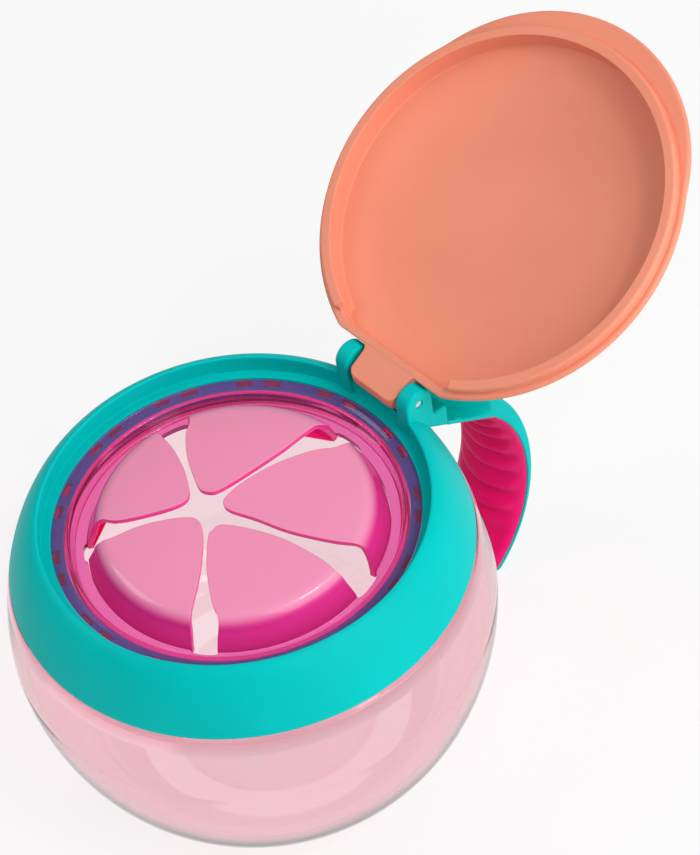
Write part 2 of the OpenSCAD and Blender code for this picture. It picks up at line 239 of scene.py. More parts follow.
def smoothMin(a, b, soft):
    # the lesser of two values, rounded where they cross
    k = np.clip(0.5 + 0.5 * (b - a) / soft, 0, 1)
    return b * (1 - k) + a * k - soft * k * (1 - k)


def quarter(count):
    # angles over a quarter of a turn
    return np.linspace(0, np.pi / 2, count)


def unit(v):
    # the same directions at length one
    return v / np.linalg.norm(v, axis=-1, keepdims=True)


def wayAlong(line):
    # how far along a line each of its points lies
    return np.r_[0, np.cumsum(np.linalg.norm(np.diff(line, axis=0), axis=1))]


# Skin: bowl and collar share one outline, two superellipse quarters that meet at the belly
skin = {"belly": bowlHigh[0], "bellyHeight": 33.5, "lip": 35.3, "lipHeight": 60.9, "seam": 48.2,
        "highFullness": 1.6, "lowFullness": 1.76, "base": 27.0}


def upperSkin(z0, z1, count, inset=0.0):
    # r = lip + (belly - lip) cos(u)^(2/n), z = bellyHeight + rise sin(u)^(2/n)
    rise = skin["lipHeight"] - skin["bellyHeight"]
    n = skin["highFullness"]
    at = [np.arcsin(np.clip((z - skin["bellyHeight"]) / rise, 0, 1) ** (n / 2)) for z in (z0, z1)]
    u = np.linspace(at[0], at[1], count)
    r = skin["lip"] + (skin["belly"] - skin["lip"]) * np.maximum(np.cos(u), 0) ** (2 / n)
    z = skin["bellyHeight"] + rise * np.maximum(np.sin(u), 0) ** (2 / n)
    return together(r - inset, z)


def lowerSkin(base, belly, floor, count):
    # the same rule from the base up to the belly, with the angle counted from the floor
    n = skin["lowFullness"]
    u = np.linspace(0, np.pi / 2, count)
    r = base + (belly - base) * np.maximum(np.sin(u), 0) ** (2 / n)
    z = floor + (skin["bellyHeight"] - floor) * (1 - np.maximum(np.cos(u), 0) ** (2 / n))
    return together(r, z)


# Materials
noiseMiddle = (0.3, 0.7)  # most of a noise's values lie between these


def newMaterial(name, sockets):
    material = bpy.data.materials.new(name)
    material.use_nodes = True
    shader = material.node_tree.nodes["Principled BSDF"]
    for socket, value in sockets.items():
        shader.inputs[socket].default_value = value
    return material, material.node_tree, shader


def node(tree, kind, **values):
    # a new node with its inputs or settings filled in
    made = tree.nodes.new("ShaderNode" + kind)
    for key, value in values.items():
        if key in made.inputs:
            made.inputs[key].default_value = value
        else:
            setattr(made, key, value)
    return made


def wire(tree, *pairs):
    for start, end in pairs:
        tree.links.new(start, end)


def objectNoise(tree, scale, detail, stretch=(1, 1, 1)):
    # noise in Object coordinates, so its scale counts per metre, and optionally stretched
    place = node(tree, "TexCoord")
    mapping = node(tree, "Mapping", Scale=stretch)
    noise = node(tree, "TexNoise", Scale=scale, Detail=detail)
    wire(tree, (place.outputs["Object"], mapping.inputs["Vector"]),
         (mapping.outputs["Vector"], noise.inputs["Vector"]))
    return noise.outputs["Fac"]


def twoColours(tree, share, colours, at=(0.0, 1.0)):
    # one colour passing into the other as the share goes from one place to the other
    ramp = node(tree, "ValToRGB")
    for element, colour, position in zip(ramp.color_ramp.elements, colours, at):
        element.position = position
        element.color = (*colour, 1)
    tree.links.new(share, ramp.inputs["Fac"])
    return ramp.outputs["Color"]


def addBump(tree, shader, height, strength, depth):
    bump = node(tree, "Bump", Strength=strength, Distance=depth)
    wire(tree, (height, bump.inputs["Height"]), (bump.outputs["Normal"], shader.inputs["Normal"]))


def spread(tree, value, low, high):
    # a noise's middle range carried onto two values
    ramp = node(tree, "MapRange")
    for socket, v in zip(("From Min", "From Max", "To Min", "To Max"), (*noiseMiddle, low, high)):
        ramp.inputs[socket].default_value = v
    tree.links.new(value, ramp.inputs["Value"])
    return ramp.outputs["Result"]


def mouldedPlastic(name, s):
    # opaque moulding: cloudy colour, a fine satin grain, and gloss that varies over the surface
    material, tree, shader = newMaterial(name, {
        "Roughness": s["rough"], "IOR": 1.5, "Specular IOR Level": s["shine"], "Subsurface Weight": s["glow"],
        "Subsurface Radius": s["glowReach"], "Subsurface Scale": 1.0})
    cloud = objectNoise(tree, s["cloudScale"], 3)
    grain = objectNoise(tree, s["grainScale"], 2)
    gloss = spread(tree, grain, s["rough"] - s["roughSpread"], s["rough"] + s["roughSpread"])
    wire(tree, (twoColours(tree, cloud, (s["deep"], s["bright"]), noiseMiddle), shader.inputs["Base Color"]),
         (gloss, shader.inputs["Roughness"]))
    addBump(tree, shader, grain, s["grain"], s["grainDepth"])
    return material


def clearPlastic(name, s):
    # see-through moulding: its colour deepens with the way through it, and lamps shine through it.
    # Where its settings name a colour for painted glow, the piece's share attribute leads from the tint to
    # it:
    # that deeper magenta is painted glow, standing in for light that passes a longer way through the
    # membrane.
    material, tree, shader = newMaterial(name, {
        "Roughness": s["rough"], "IOR": s["ior"], "Base Color": (*s["tint"], 1),
        "Transmission Weight": s["clear"]})
    if "paintedGlow" in s:
        share = node(tree, "Attribute", attribute_name="paintedGlowShare")
        colour = twoColours(tree, share.outputs["Fac"], (s["tint"], s["paintedGlow"]))
        tree.links.new(colour, shader.inputs["Base Color"])
    absorb = node(tree, "VolumeAbsorption", Density=s["density"], Color=(*s["body"], 1))
    through = node(tree, "BsdfTransparent", Color=(*s["lampTint"], 1))
    path = node(tree, "LightPath")
    mix = node(tree, "MixShader")
    out = tree.nodes["Material Output"]
    wire(tree, (path.outputs["Is Shadow Ray"], mix.inputs["Fac"]), (shader.outputs["BSDF"], mix.inputs[1]),
         (through.outputs["BSDF"], mix.inputs[2]), (mix.outputs["Shader"], out.inputs["Surface"]),
         (absorb.outputs["Volume"], out.inputs["Volume"]))
    addBump(tree, shader, objectNoise(tree, s["waveScale"], 1), s["wave"], s["waveDepth"])
    return material


def cutWire(name, s):
    # bright metal with fine lines along one way
    material, tree, shader = newMaterial(name, {"Metallic": 1.0, "Base Color": (*s["colour"], 1)})
    lines = objectNoise(tree, s["lineScale"], 2, s["stretch"])
    addBump(tree, shader, lines, s["lines"], s["lineDepth"])
    tree.links.new(spread(tree, lines, *s["rough"]), shader.inputs["Roughness"])
    return material


satin = {"rough": 0.42, "roughSpread": 0.05, "glow": 0.06,
         "grainScale": 2600, "grain": 0.10, "grainDepth": 0.00004}
membraneClear = {"ior": 1.42, "density": 620.0, "body": (0.93, 0.12, 0.70), "waveScale": 60, "wave": 0.03,
                 "waveDepth": 0.0008}
finishes = {
    "teal": mouldedPlastic("tealPlastic", {
        **satin, "deep": (0.0, 0.46, 0.44), "bright": (0.0, 0.53, 0.51), "shine": 0.05,
        "glowReach": (0.0005, 0.002, 0.002), "cloudScale": 28}),
    "coral": mouldedPlastic("coralPlastic", {
        **satin, "deep": (0.81, 0.27, 0.17), "bright": (0.87, 0.305, 0.195), "shine": 0.16,
        "glowReach": (0.002, 0.0008, 0.0005), "cloudScale": 30}),
    "magenta": mouldedPlastic("magentaRubber", {
        "deep": (0.74, 0.0, 0.135), "bright": (0.86, 0.003, 0.185), "rough": 0.52, "roughSpread": 0.06,
        "shine": 0.25, "glow": 0.05, "glowReach": (0.0015, 0.0003, 0.0006),
        "cloudScale": 60, "grainScale": 3200, "grain": 0.18, "grainDepth": 0.00005}),
    "bowl": clearPlastic("clearBowl", {
        "rough": 0.03, "ior": 1.5, "tint": (1.0, 0.96, 0.97), "clear": 1.0, "density": 160.0,
        "body": (0.86, 0.26, 0.38), "lampTint": (0.97, 0.92, 0.94),
        "waveScale": 45, "wave": 0.04, "waveDepth": 0.0008}),
    "neck": mouldedPlastic("frostedNeck", {
        **satin, "deep": (0.90, 0.66, 0.70), "bright": (0.96, 0.76, 0.79), "rough": 0.4, "shine": 0.4,
        "glow": 0.2, "glowReach": (0.004, 0.002, 0.002), "cloudScale": 40, "grain": 0.05}),
    "rim": clearPlastic("pinkRim", {
        **membraneClear, "rough": 0.08, "tint": (0.96, 0.42, 0.72), "clear": 0.95,
        "lampTint": (0.98, 0.70, 0.84)}),
    # the flap's deeper magenta is painted glow, laid over the dome's shoulder, edges and underside
    "flap": clearPlastic("pinkFlap", {
        **membraneClear, "rough": 0.14, "tint": (0.87, 0.37, 0.56), "paintedGlow": (0.90, 0.05, 0.38), "clear": 0.28,
        "lampTint": (0.98, 0.55, 0.75)}),
    "steel": cutWire("pinSteel", {
        "colour": (0.72, 0.71, 0.69), "rough": (0.2, 0.42), "lineScale": 900, "stretch": (1, 1, 6),
        "lines": 0.3, "lineDepth": 0.00003}),
}
print("materials made")


def dress(piece, finish, body, replaced=()):
    # the material of the named finish, the body that it moves with, and the CAD node that it stands for,
    # which is hidden
    piece.data.materials.clear()
    piece.data.materials.append(finishes[finish])
    if body:
        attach(piece, body)
    if replaced:
        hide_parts(*replaced)
    return piece


# Bowl
bowl = {"wall": 1.8, "neckWall": 1.8, "neck": 37.0, "rim": bowlHigh[2], "around": 224,
        "shoulderRound": 0.5, "mouthRound": 0.15, "insideRound": 1.4, "insideDrop": 0.6, "rimRound": 0.5,
        "neckSeat": 0.02, "floorDip": 0.35, "dipReach": 20.0, "dipEdge": 2.0,
        "lugs": 3, "lugStart": 30.0, "lugAngle": 24.0, "lugOut": 1.0, "lugLow": 50.9, "lugHigh": 52.1,
        "lugRound": 0.3, "lugSunk": 0.3, "footRound": 0.1}


def makeBowl(s):
    # one clear wall carried round: out along the skin, in over its shoulder, and back down inside
    base, belly, middle, seam = (skin[part] for part in ("base", "belly", "bellyHeight", "seam"))
    wall = s["wall"]
    neckIn, floorIn = s["neck"] - s["neckWall"], base - wall / 2
    insideTop = seam - wall - s["neckWall"] - s["insideDrop"]
    outer = np.concatenate([lowerSkin(base, belly, 0.0, 60)[:-1], upperSkin(middle, seam, 36)])
    inner = np.concatenate([upperSkin(middle, insideTop, 30, wall)[::-1],
                            lowerSkin(floorIn, belly - wall, wall, 50)[::-1][1:]])
    shoulder = arcCorners([outer[-3], outer[-1], [neckIn, seam], [neckIn, seam - wall], inner[0]],
                          [0, s["shoulderRound"], s["mouthRound"], s["insideRound"], 0], closed=False)
    dipRadius = np.linspace(0, base, 14)[:-1]
    dipHeight = s["floorDip"] * (1 - smoothStep(s["dipReach"] - s["dipEdge"], s["dipReach"], dipRadius))
    dip = together(dipRadius, dipHeight)
    floor = together(np.linspace(floorIn, 0, 12)[1:], wall)
    profile = np.concatenate([dip[1:], outer[:-3], fillRuns(shoulder[:-1], 1.5, False), inner, floor[:-1]])
    grid = turned(profile, around(s["around"])).transpose(1, 0, 2)
    return dress(gridPiece("bowlBody", grid, caps=(True, True)), "bowl", "bowl", ["bowl"])


def makeNeck(s):
    # the neck inside the collar, with the lugs that the collar locks under
    inside, low = s["neck"] - s["neckWall"], skin["seam"] + s["neckSeat"]
    section = arcCorners([[inside, low], [s["neck"], low], [s["neck"], s["rim"]], [inside, s["rim"]]],
                         [s["footRound"]] * 2 + [s["rimRound"]] * 2)
    parts = [gridPiece("neckRing", turned(fillRuns(section, 1.5), around(s["around"])), wrapRows=True)]
    foot, edge, r = s["neck"] - s["lugSunk"], s["neck"] + s["lugOut"], s["lugRound"]
    bottom, top, wide = s["lugLow"], s["lugHigh"], np.radians(s["lugAngle"]) / 2
    lug = arcCorners([[foot, bottom], [edge, bottom], [edge, top], [foot, top]], [0, r, r, 0], 3)
    for i in range(s["lugs"]):
        mid = np.radians(s["lugStart"] + 360 / s["lugs"] * i)
        angles = np.linspace(mid - wide, mid + wide, 24)
        parts.append(gridPiece("neckLug", turned(lug, angles), caps=(True, True)))
    return dress(joined("bowlNeck", parts), "neck", "bowl")


makeBowl(bowl)
makeNeck(bowl)
print("bowl made")


# Collar: the ring, then what stands on it
collar = {"low": 48.5, "mouth": 33.3, "wall": 34.9, "shelf": 57.2, "sleeve": 35.05, "lipRound": 0.32,
          "ledge": 56.1, "ledgeThick": 1.3, "ledgeHole": 31.1, "neckRoom": 37.3, "bore": 38.3,
          "lockTop": 52.4, "roomTop": 56.0, "earsOut": 9.6, "earsIn": 6.45, "notch": 3.75,
          "around": 240, "backHalf": 16, "fine": 0.3, "along": 0.8}
windows = {"pairs": 13, "length": 3.0, "width": 1.0, "circle": 32.6, "between": 9.3, "step": 1.6,
           "edgeStrip": 0.12, "sunk": 0.8}


def windowAngles(w):
    # degrees round from the right: two windows to a pair, the first pair in front
    return np.array([270 + i * 360 / w["pairs"] + side * w["between"] / 2
                     for i in range(w["pairs"]) for side in (-1, 1)])


def ringAngles(s):
    # even steps round the ring, and finer ones where the hinge notches it
    back = np.radians(np.arange(90 - s["backHalf"], 90 + s["backHalf"] + 0.01, s["fine"]))
    even = around(s["around"])
    return np.sort(np.concatenate([even[(even < back[0] - 0.005) | (even > back[-1] + 0.005)], back]))


def makeRing(s):
    # one profile turned round: the skin up to the lip, a small round edge, the upright sleeve down to the
    # shelf, the mouth's wall, and the rooms for the neck and its lugs
    top, low = skin["lipHeight"], s["ledge"] - s["ledgeThick"]
    out = upperSkin(s["low"], top, 60)
    crest = s["sleeve"] + s["lipRound"]
    out = out[out[:, 0] > crest + 0.1]
    a = np.linspace(np.pi / 2, np.pi, 7)
    lip = together(crest + s["lipRound"] * np.cos(a), top - s["lipRound"] * (1 - np.sin(a)))
    inner = arcCorners([lip[-1], [s["sleeve"], s["shelf"]], [s["mouth"], s["shelf"]], [s["mouth"], low],
                        [s["wall"], low], [s["wall"], s["roomTop"]], [s["neckRoom"], s["roomTop"]],
                        [s["neckRoom"], s["lockTop"]], [s["bore"], s["lockTop"]], [s["bore"], s["low"]],
                        [out[0, 0], s["low"]]],
                       [0, 0.12, 0.15, 0.2, 0.2, 0.3, 0.3, 0.3, 0.3, 0.3, 0.35], 5, closed=False)
    profile = fillRuns(np.concatenate([out[2:], lip[:-1], inner[:-1]]), s["along"])
    grid = turned(profile, ringAngles(s))
    # the notch for the lid's knuckle: what is nearer to the pin's line than its radius moves out to it
    pinAt = np.array([pinY, pinZ])
    away = grid[..., 1:] - pinAt
    near = np.linalg.norm(away, axis=-1)
    between = np.abs(grid[..., 0]) < (s["earsOut"] + s["earsIn"]) / 2
    inNotch = between & (near < s["notch"]) & (grid[..., 1] > 0)
    movedOut = pinAt + away * (s["notch"] / near)[..., None]
    grid[..., 1:] = np.where(inNotch[..., None], movedOut, grid[..., 1:])
    return gridPiece("collarRing", grid, wrapRows=True)


def makeLedge(s, w):
    # a flat ring whose cells under the windows are left out, with a wall round each hole
    half = np.degrees(w["length"] / 2 / w["circle"])
    centres = windowAngles(w)
    edges = np.sort(np.mod([c + e * half for c in centres for e in (-1, 1)], 360))
    middles = edges + np.mod(np.roll(edges, -1) - edges, 360) / 2
    inHole = [np.any(np.abs((m - centres + 180) % 360 - 180) < half) for m in middles]
    angles, hole = [], []
    for start, end, isHole in zip(edges, np.roll(edges, -1), inHole):
        wide = (end - start) % 360
        n = max(1, int(round(wide / w["step"])))
        angles.extend(start + wide * np.arange(n) / n)
        hole.extend([isHole] * n)
    angles, hole = np.radians(angles), np.array(hole)
    radii = np.array([s["ledgeHole"], s["ledgeHole"] + w["edgeStrip"], w["circle"] - w["width"] / 2,
                      w["circle"] + w["width"] / 2, s["mouth"] + w["sunk"]])
    n, m = len(angles), len(radii)
    heights = s["ledge"], s["ledge"] - s["ledgeThick"]
    points = np.concatenate([turned(together(radii, z), angles).reshape(-1, 3) for z in heights])
    i, j = np.meshgrid(np.arange(n), np.arange(m - 1), indexing="ij")
    windowIn, windowOut = 2, 3  # the columns at a window's two long sides
    solid = ~(hole[i] & (j == windowIn))
    a, b = i * m + j, ((i + 1) % n) * m + j
    faces = [np.stack([a, a + 1, b + 1, b], -1)[solid], np.stack([a, b, b + 1, a + 1], -1)[solid] + n * m]

    def standing(p, q, flip):
        # quads from an edge of the upper face down to the same edge of the lower one
        faces.append(np.stack([p, q, q + n * m, p + n * m], -1)[:, ::-1 if flip else 1])

    k = np.arange(n)
    after, every = (k + 1) % n, np.full(n, True)
    for column, flip, where in ((0, False, every), (m - 1, True, every), (windowIn, True, hole),
                                (windowOut, False, hole)):
        standing((k * m + column)[where], (after * m + column)[where], flip)
    opens, closes = k[hole & ~np.roll(hole, 1)], (k[hole & ~np.roll(hole, -1)] + 1) % n
    for line, flip in ((opens, True), (closes, False)):
        standing(line * m + windowIn, line * m + windowOut, flip)
    return makeMesh("collarLedge", points, np.concatenate(faces), smooth=30)


ear = {"radius": 3.1, "foot": 6.9, "flankSoft": 0.8, "edge": 0.5, "recess": 0.86, "recessDeep": 0.8,
       "recessEdge": 0.12, "faceFrom": 0.15, "faceShort": 0.05, "around": 120}
tiny = 1e-6  # keeps divisions away from nought


def makeEar(s, c, side):
    # a polar grid round the pin: its rim is the round top with straight flanks below it, and its section
    # runs from the pin's hole over one face, round the rim, and back over the other face
    phi = around(s["around"])
    sin, cos = np.sin(phi), np.cos(phi)
    upright, bottom = s["radius"] / np.maximum(np.abs(cos), tiny), s["foot"] / np.maximum(-sin, tiny)
    flank = smoothMin(upright, bottom, s["flankSoft"])
    rim = np.where(sin < 0, np.maximum(flank, s["radius"]), s["radius"])
    outX, inX, hole, mouth = c["earsOut"], c["earsIn"], s["recess"], s["recessEdge"]
    faceRim, faceFoot = rim - s["edge"] - s["faceShort"], hole + s["faceFrom"]
    parts = []

    def ringAt(x, radius):
        parts.append(together(side * x, pinY + cos * radius, pinZ + sin * radius))

    ringAt((outX + inX) / 2, hole)
    for x in np.linspace(outX - s["recessDeep"], outX - mouth, 4):
        ringAt(x, hole)
    for t in quarter(8)[1::2]:
        ringAt(outX - mouth * (1 - np.sin(t)), hole + mouth * (1 - np.cos(t)))
    for share in np.linspace(0.12, 1, 7):
        ringAt(outX, faceFoot + (faceRim - faceFoot) * share)
    for t in quarter(8):
        ringAt(outX - s["edge"] * (1 - np.cos(t)), rim - s["edge"] * (1 - np.sin(t)))
    for x in np.linspace(outX - s["edge"], inX + s["edge"], 5)[1:-1]:
        ringAt(x, rim)
    for t in quarter(8)[::-1]:
        ringAt(inX + s["edge"] * (1 - np.cos(t)), rim - s["edge"] * (1 - np.sin(t)))
    for share in np.linspace(1, 0.1, 5):
        ringAt(inX, hole + (faceRim - hole) * share)
    ringAt(inX, hole)
    return gridPiece("collarEar", np.stack(parts), wrapRows=True)


# Handle: two elliptic lines, with the arm's straight underside near its root
handle = {"middle": 40.6, "outA": 21.9, "outB": 30.3, "outZ": 27.5, "inA": 20.7, "inB": 26.7, "inZ": 25.0,
          "footY": 38.5, "footZ": 55.3, "straightY": 54.5, "tip": 1.6, "tipRound": 0.9, "tipDraw": 0.5,
          "root": 97.0, "halfWidth": 9.3, "edge": 0.5, "step": 83.15, "blockHalf": 9.15,
          "scoopDeep": 8.2, "scoopEnd": 53.6, "scoopLip": 1.25, "scoopSoft": 0.8, "scoopFull": 1.0,
          "scoopFrom": 0.6, "tipThin": 0.15, "crowd": 0.02, "rows": 200, "blockRows": 14}


def handleLines(s, t):
    # the handle's outer line and the frame's inner line in y and z, at angles up from the back: ellipses
    # middle + A cos t, Z + B sin t, and towards its root the inner one runs on straight
    outer = together(s["middle"] + s["outA"] * np.cos(t), s["outZ"] + s["outB"] * np.sin(t))
    y = s["middle"] + s["inA"] * np.cos(t)
    z = s["inZ"] + s["inB"] * np.sin(t)
    joinZ = s["inZ"] + s["inB"] * np.sqrt(1 - ((s["straightY"] - s["middle"]) / s["inA"]) ** 2)
    slope = (s["footZ"] - joinZ) / (s["footY"] - s["straightY"])
    line = joinZ + slope * (y - s["straightY"])
    z = np.where((y < s["straightY"]) & (np.sin(t) > 0), line, z)
    return outer, together(y, z)


def roundBar(halfX, halfH, edge, perCorner=5, across=10, along=8):
    # section of a bar as offsets from its middle, a rectangle with round corners, for arrays of sizes
    k = quarter(perCorner + 1)
    corners = []
    for turnBy, sx, sh in ((0, 1, 1), (np.pi / 2, -1, 1), (np.pi, -1, -1), (3 * np.pi / 2, 1, -1)):
        x = (halfX - edge)[:, None] * sx + edge[:, None] * np.cos(k + turnBy)
        h = (halfH - edge)[:, None] * sh + edge[:, None] * np.sin(k + turnBy)
        corners.append(together(x, h))
    parts = []
    for i, c in enumerate(corners):
        parts.append(c)
        after = corners[(i + 1) % 4][:, :1]
        n = across if i % 2 == 0 else along
        f = 0.5 - 0.5 * np.cos(np.pi * np.linspace(0, 1, n + 2)[1:-1])
        parts.append(c[:, -1:] * (1 - f)[None, :, None] + after * f[None, :, None])
    return np.concatenate(parts, 1)


def makeArm(s):
    # a bar between the two lines, whose root is a block nearly as wide as the ears. At the step behind the
    # block its sides are drawn in by deep (1 - u)^full, u the way to the scoop's end, above a lower lip
    low = np.arcsin((s["tip"] - s["outZ"]) / s["outB"])
    lowIn = np.arcsin((s["tip"] - s["inZ"]) / s["inB"])
    step, root, crowd = np.radians(s["step"]), np.radians(s["root"]), s["crowd"]
    atStep = np.array([-0.013, -0.007, -0.003, -0.0008, 0.0008, 0.003, 0.007, 0.013])  # rows that crowd there
    t = np.concatenate([low + (step - crowd - low) * np.linspace(0, 1, s["rows"]), step + atStep,
                        np.linspace(step + crowd, root, s["blockRows"])])
    share = (t - low) / (root - low)
    outer = handleLines(s, t)[0]
    inner = handleLines(s, lowIn + (root - lowIn) * share)[1]
    thick, across = np.linalg.norm(outer - inner, axis=1), unit(outer - inner)
    # the tip is rounded off by the last rows closing in
    close = np.sqrt(np.clip(1 - (1 - np.clip(wayAlong(outer) / s["tipRound"], 0, 1)) ** 2, 0.0, 1))
    half = np.where(t > step, s["blockHalf"], s["halfWidth"]) - s["tipDraw"] * (1 - close)
    halfH = thick / 2 * (s["tipThin"] + (1 - s["tipThin"]) * close)
    edge = np.minimum(s["edge"], halfH * 0.92)
    section = roundBar(half, halfH, edge, across=12, along=22)
    centre = (outer + inner) / 2
    h = section[..., 1]
    y = centre[:, None, 0] + across[:, None, 0] * h
    z = centre[:, None, 1] + across[:, None, 1] * h
    stepY = s["middle"] + s["outA"] * np.cos(step)
    u = np.clip((y - stepY) / (s["scoopEnd"] - stepY), 0, 1)
    lift = smoothStep(s["scoopLip"], s["scoopLip"] + s["scoopSoft"], h + halfH[:, None])
    drawn = s["scoopDeep"] * (1 - u) ** s["scoopFull"] * lift * ((t < step) & (t > s["scoopFrom"]))[:, None]
    x = section[..., 0] * (1 - drawn / s["halfWidth"])
    return gridPiece("collarArm", together(x, y, z), caps=(True, True), smooth=35)


def makeCollar(c, e, h, w):
    parts = [makeRing(c), makeLedge(c, w), makeEar(e, c, 1), makeEar(e, c, -1), makeArm(h)]
    return dress(joined("collarBody", parts), "teal", "collar", ["collar"])


makeCollar(collar, ear, handle, windows)
print("collar made")


# Grip: crowned across, with finger ribs on its inner face
grip = {"inset": 0.35, "thick": 3.1, "endDrop": 1.7, "endShare": 0.02, "top": 75.0, "fullness": 1.7,
        "ribs": 12, "rib": 1.8, "ribOffset": 0.4, "ribInner": 6.2, "ribOuter": 8.5,
        "smoothBelow": -45.0, "ribbedAbove": -30.0, "ribsEnd": 0.97, "endThin": 0.1, "least": 0.02,
        "sunk": 0.35, "rows": 320, "across": 48}


def makeGrip(s, h):
    # between the frame's inner line and a smaller ellipse, height across = (1 - |s|^n)^(1/n),
    # and ribs as squared sines along the line that fade out towards the sides and the upper end
    lowOut = np.arcsin((h["tip"] - h["inZ"]) / h["inB"])
    lowIn = np.arcsin((h["tip"] - h["inZ"]) / (h["inB"] - s["endDrop"]))
    t = np.linspace(0, 1, s["rows"])
    top = np.radians(s["top"])
    base = handleLines(h, lowOut + (top - lowOut) * t)[1]
    angle = lowIn + (top - lowIn) * t
    face = together(h["middle"] + (h["inA"] - s["thick"]) * np.cos(angle),
                    h["inZ"] + (h["inB"] - s["endDrop"]) * np.sin(angle))
    high, across = np.linalg.norm(face - base, axis=1), unit(face - base)
    a = np.pi * np.arange(s["across"] + 1) / s["across"]
    side = np.cos(a)
    half = h["halfWidth"] - s["inset"]
    crown = (1 - np.abs(side) ** s["fullness"]) ** (1 / s["fullness"])
    ends = np.prod([np.sqrt(np.clip(1 - (1 - np.clip(way / s["endShare"], 0, 1)) ** 2, 0, 1))
                    for way in (t, 1 - t)], axis=0)
    ribs = np.sin(np.pi * s["ribs"] * t) ** 2 * (1 - smoothStep(s["ribsEnd"], 1.0, t))
    ribs *= smoothStep(np.radians(s["smoothBelow"]), np.radians(s["ribbedAbove"]), angle)
    reach = 1 - smoothStep(s["ribInner"], s["ribOuter"], np.abs(side) * half)
    lift = high[:, None] * crown + s["rib"] * (ribs[:, None] - s["ribOffset"]) * reach * crown
    lift = np.maximum(lift * (s["endThin"] + (1 - s["endThin"]) * ends[:, None]), s["least"])
    y = base[:, None, 0] + across[:, None, 0] * lift
    z = base[:, None, 1] + across[:, None, 1] * lift
    faceGrid = together(side * half, y, z)
    sunk = (base - across * s["sunk"])[:, None]
    under = together(np.array([-half, 0, half]), sunk[..., 0], sunk[..., 1])
    return gridPiece("gripPad", np.concatenate([faceGrid, under], 1), caps=(True, True))


dress(makeGrip(grip, handle), "magenta", "collar", ["handle_grip"])
print("grip made")


# Hinge pin: a cut wire whose ends are slightly domed and chamfered
pin = {"radius": 0.8, "chamfer": 0.12, "dome": 0.06, "short": 0.03, "middle": 0.02, "around": 48}


def makePin(s):
    # rings along the pin's line, y = pinY + r cos a and z = pinZ + r sin a
    x0, x1 = pinLow[0] + s["short"], pinHigh[0] - s["short"]
    r, dome, cut = s["radius"], s["dome"], s["chamfer"]
    radius = np.array([s["middle"], r * 0.5, r - cut, r, r, r - cut, r * 0.5, s["middle"]])
    x = np.array([x0, x0 + 0.01, x0 + dome, x0 + dome + cut, x1 - dome - cut, x1 - dome, x1 - 0.01, x1])
    phi = around(s["around"])
    grid = together(x[:, None], pinY + radius[:, None] * np.cos(phi), pinZ + radius[:, None] * np.sin(phi))
    return gridPiece("pinWire", grid, caps=(True, True), smooth=30)


dress(makePin(pin), "steel", "collar", ["hinge_pin"])
print("pin made")


# Membrane: the ring on the ledge with its lugs, then the five flaps
membrane = {"thick": 1.1, "floor": 52.7, "inner": 27.33, "floorOut": 29.4, "wallFoot": 30.5,
            "wallTop": 30.95, "wallDeep": 1.4, "edge": 30.15, "edgeRound": 0.45,
            "stepIn": 31.3, "stepOut": 32.1, "stepTop": 56.6, "rimTop": 57.0, "rimOut": 33.15,
            "notch": 0.6, "notchPast": 0.25, "notchFade": 0.3,
            "holdWide": 0.4, "gap": 0.05, "seat": 0.03, "around": 600}
# The flaps' sides, flattened: a point's distance from the dome's middle is the way along the dome's line.
# Each slit has a side on either hand, and each side runs from a flap's nose to the foot.
slits = [
    {"before": [(-1.2, -1.2), (-2.1, 0.5), (-2.3, 4.8), (-1.3, 11.7),
                (1.1, 18.5), (3.5, 22.8), (3.2, 30.85)],
     "after": [(-5.1, -1.2), (-4.1, 0.3), (-3.4, 5.1), (-3.0, 14.0),
               (-3.4, 21.8), (-2.7, 25.5), (-3.8, 30.8)]},
    {"before": [(-5.1, -1.2), (-7.0, -1.8), (-9.9, -0.7), (-14.9, 1.9),
                (-19.3, 5.3), (-22.1, 8.5), (-29.0, 11.1)],
     "after": [(-7.7, -3.6), (-9.7, -2.2), (-12.9, -0.5), (-18.1, 1.4),
               (-22.2, 2.1), (-25.5, 2.4), (-30.5, 5.4)]},
    {"before": [(-7.7, -3.6), (-6.8, -5.3), (-7.5, -8.0), (-10.4, -12.9),
                (-13.2, -16.4), (-16.2, -18.4), (-19.9, -23.8)],
     "after": [(-1.2, -6.8), (-3.2, -7.2), (-6.2, -10.4), (-9.0, -14.8),
               (-11.2, -20.0), (-13.5, -22.9), (-16.7, -26.2)]},
    {"before": [(-1.2, -6.8), (0.8, -7.8), (4.1, -10.7), (8.1, -15.1),
                (12.1, -20.5), (14.9, -24.4), (16.3, -26.4)],
     "after": [(1.9, -6.4), (2.7, -8.2), (7.6, -12.8), (13.2, -16.6),
               (16.7, -18.3), (19.0, -21.5), (20.4, -23.4)]},
    {"before": [(1.9, -6.4), (2.3, -4.5), (6.5, -1.8), (12.6, 0.9),
                (19.6, 2.5), (24.6, 3.0), (30.6, 4.9)],
     "after": [(-1.2, -1.2), (1.0, -1.4), (5.6, 0.4), (12.0, 2.7),
               (18.8, 6.6), (24.7, 11.0), (29.0, 11.1)]},
]


def slitFeet():
    # where each slit's two sides come down to the trough, as angles round the cup
    ends = np.array([[slit["before"][-1], slit["after"][-1]] for slit in slits])
    angle = np.arctan2(ends[..., 1], ends[..., 0])
    half = np.abs((angle[:, 1] - angle[:, 0] + np.pi) % (2 * np.pi) - np.pi) / 2
    middle = np.arctan2(ends[..., 1].sum(1), ends[..., 0].sum(1))
    return middle, half


